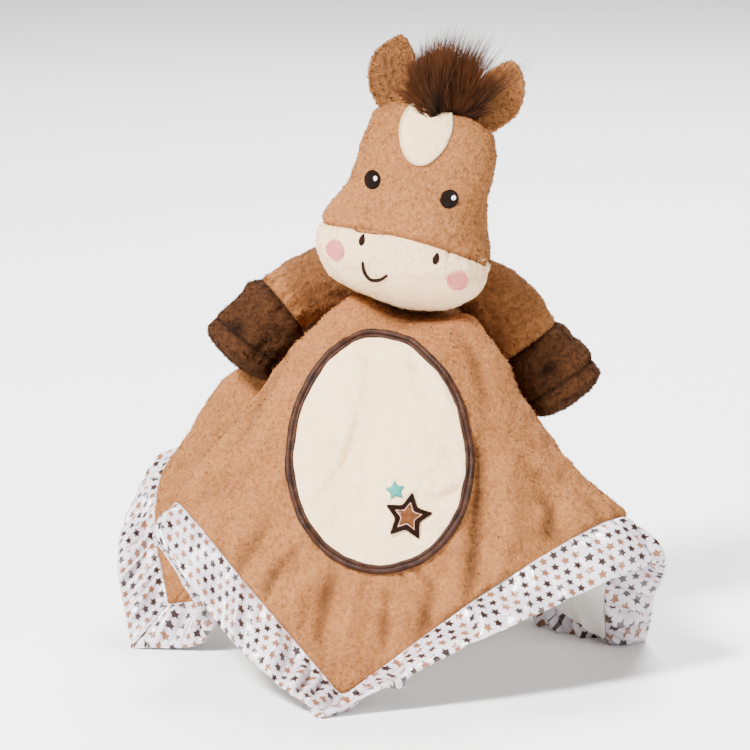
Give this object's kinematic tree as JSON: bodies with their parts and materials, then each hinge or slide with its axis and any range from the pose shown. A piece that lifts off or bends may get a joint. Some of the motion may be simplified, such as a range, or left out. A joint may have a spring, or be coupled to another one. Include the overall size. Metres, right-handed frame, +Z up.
{
  "type": "comfort blanket",
  "caption": "Comfort blanket lovey: stuffed horse head and arms on a square plush blanket with a star-print satin border, standing like a tent.",
  "frame": {"origin": "on the floor, under the middle of the bounding box", "axes": "+Z up, the face looks along -Y, +X to the viewer's right"},
  "size_m": [0.3088, 0.3512, 0.351],
  "materials": {
    "tan_plush": "short pile plush",
    "cream_plush": "short pile plush",
    "brown_plush": "short pile plush",
    "printed_satin": "satin with small printed stars",
    "white_lining": "smooth tricot",
    "brown_cord": "satin-covered piping",
    "brown_thread": "embroidery",
    "white_thread": "embroidery",
    "pink_thread": "embroidery",
    "teal_thread": "embroidery",
    "brown_felt": "felt applique",
    "stuffing": "loose polyester",
    "dark_fur": "long pile fur"
  },
  "bodies": {
    "blanket": {"blanket_plush_panel": "tan_plush", "blanket_lining": "white_lining", "satin_border_front_right": "printed_satin", "satin_border_back_right": "printed_satin", "satin_border_back_left": "printed_satin", "satin_border_front_left": "printed_satin", "tummy_patch": "cream_plush", "patch_piping": "brown_cord", "brown_star": "brown_felt", "star_stitching": "brown_thread", "small_star": "teal_thread"},
    "neck": {"neck_knob": "tan_plush"},
    "head": {"head_crown": "tan_plush", "head_muzzle": "cream_plush", "head_filling": "stuffing", "forehead_blaze": "cream_plush", "blaze_stitching": "white_thread", "mouth_stitching": "brown_thread", "eye_left": "brown_thread", "eye_right": "brown_thread", "eye_glint_left": "white_thread", "eye_glint_right": "white_thread", "nostril_left": "brown_thread", "nostril_right": "brown_thread", "cheek_left": "pink_thread", "cheek_right": "pink_thread", "mane_tuft": "dark_fur"},
    "left_ear": {"ear_left": "tan_plush"},
    "right_ear": {"ear_right": "tan_plush"},
    "left_arm": {"arm_sleeve_left": "tan_plush", "hoof_left": "brown_plush", "arm_filling_left": "stuffing"},
    "right_arm": {"arm_sleeve_right": "tan_plush", "hoof_right": "brown_plush", "arm_filling_right": "stuffing"}
  },
  "joints": [
    {"name": "head_turn", "type": "hinge", "parent": "blanket", "child": "neck", "pos_m": [0.01792, -0.02684, 0.2212], "axis": [0, 0, 1], "range_deg": [-8, 26], "stiffness_Nm_per_rad": 0.02},
    {"name": "head_nod", "type": "hinge", "parent": "neck", "child": "head", "pos_m": [0.01792, -0.02684, 0.2212], "axis": [-0.989, 0.1478, 0], "range_deg": [0, 12]},
    {"name": "left_ear_fold", "type": "hinge", "parent": "head", "child": "left_ear", "pos_m": [-0.00294, -0.04217, 0.30822], "axis": [0.9656, -0.1478, -0.2141], "range_deg": [-10, 15], "stiffness_Nm_per_rad": 0.01},
    {"name": "right_ear_fold", "type": "hinge", "parent": "head", "child": "right_ear", "pos_m": [0.05287, -0.05071, 0.29585], "axis": [0.9656, -0.1478, -0.2141], "range_deg": [-10, 15], "stiffness_Nm_per_rad": 0.01},
    {"name": "left_arm_lift", "type": "hinge", "parent": "blanket", "child": "left_arm", "pos_m": [0.00303, -0.00444, 0.2146], "axis": [0.4041, 0.7823, -0.474], "range_deg": [0, 45]},
    {"name": "right_arm_lift", "type": "hinge", "parent": "blanket", "child": "right_arm", "pos_m": [0.03282, -0.00444, 0.2146], "axis": [0.4041, -0.7823, 0.474], "range_deg": [0, 45]}
  ]
}
